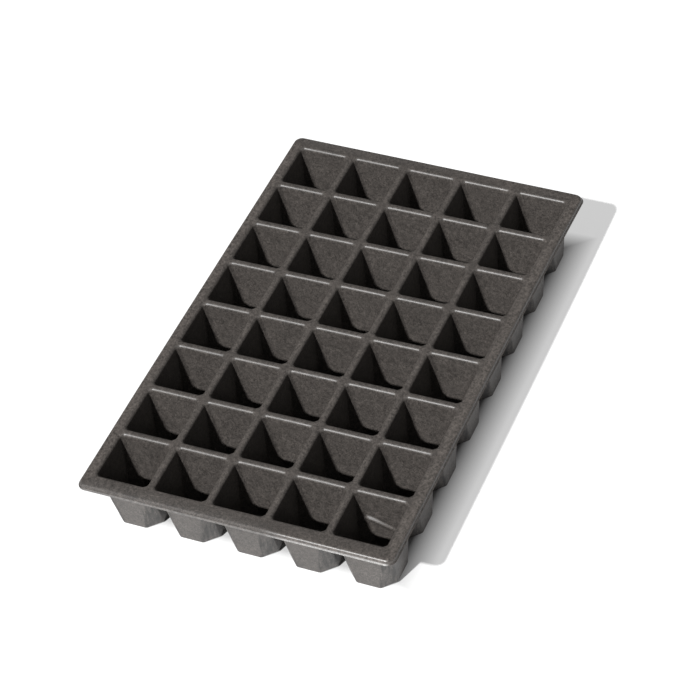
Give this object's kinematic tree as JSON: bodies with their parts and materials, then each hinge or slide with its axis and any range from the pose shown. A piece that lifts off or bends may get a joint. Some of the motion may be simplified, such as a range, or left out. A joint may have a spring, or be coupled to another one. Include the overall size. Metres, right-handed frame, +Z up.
{
  "type": "plug tray",
  "caption": "Thin moulded plastic seedling tray: a grid of square tapered cells under a flat web, with a wide flat rim that turns down to a small lip.",
  "frame": {"origin": "middle of the tray on the surface that it stands on, under the cells' floors", "axes": "+X across the tray, +Y along it from row 1 to row 8, +Z up out of the cells"},
  "size_m": [0.235, 0.3726, 0.051],
  "materials": {
    "tray_plastic": "near-black recycled polystyrene sheet, fine matt grain with a soft sheen on the bends"
  },
  "bodies": {
    "root": {"cell_row1_column1": "tray_plastic", "cell_row1_column2": "tray_plastic", "cell_row1_column3": "tray_plastic", "cell_row1_column4": "tray_plastic", "cell_row1_column5": "tray_plastic", "cell_row2_column1": "tray_plastic", "cell_row2_column2": "tray_plastic", "cell_row2_column3": "tray_plastic", "cell_row2_column4": "tray_plastic", "cell_row2_column5": "tray_plastic", "cell_row3_column1": "tray_plastic", "cell_row3_column2": "tray_plastic", "cell_row3_column3": "tray_plastic", "cell_row3_column4": "tray_plastic", "cell_row3_column5": "tray_plastic", "cell_row4_column1": "tray_plastic", "cell_row4_column2": "tray_plastic", "cell_row4_column3": "tray_plastic", "cell_row4_column4": "tray_plastic", "cell_row4_column5": "tray_plastic", "cell_row5_column1": "tray_plastic", "cell_row5_column2": "tray_plastic", "cell_row5_column3": "tray_plastic", "cell_row5_column4": "tray_plastic", "cell_row5_column5": "tray_plastic", "cell_row6_column1": "tray_plastic", "cell_row6_column2": "tray_plastic", "cell_row6_column3": "tray_plastic", "cell_row6_column4": "tray_plastic", "cell_row6_column5": "tray_plastic", "cell_row7_column1": "tray_plastic", "cell_row7_column2": "tray_plastic", "cell_row7_column3": "tray_plastic", "cell_row7_column4": "tray_plastic", "cell_row7_column5": "tray_plastic", "cell_row8_column1": "tray_plastic", "cell_row8_column2": "tray_plastic", "cell_row8_column3": "tray_plastic", "cell_row8_column4": "tray_plastic", "cell_row8_column5": "tray_plastic", "rim_front": "tray_plastic", "rim_back": "tray_plastic", "rim_left": "tray_plastic", "rim_right": "tray_plastic", "rim_corner_front_left": "tray_plastic", "rim_corner_front_right": "tray_plastic", "rim_corner_back_left": "tray_plastic", "rim_corner_back_right": "tray_plastic"}
  },
  "joints": []
}
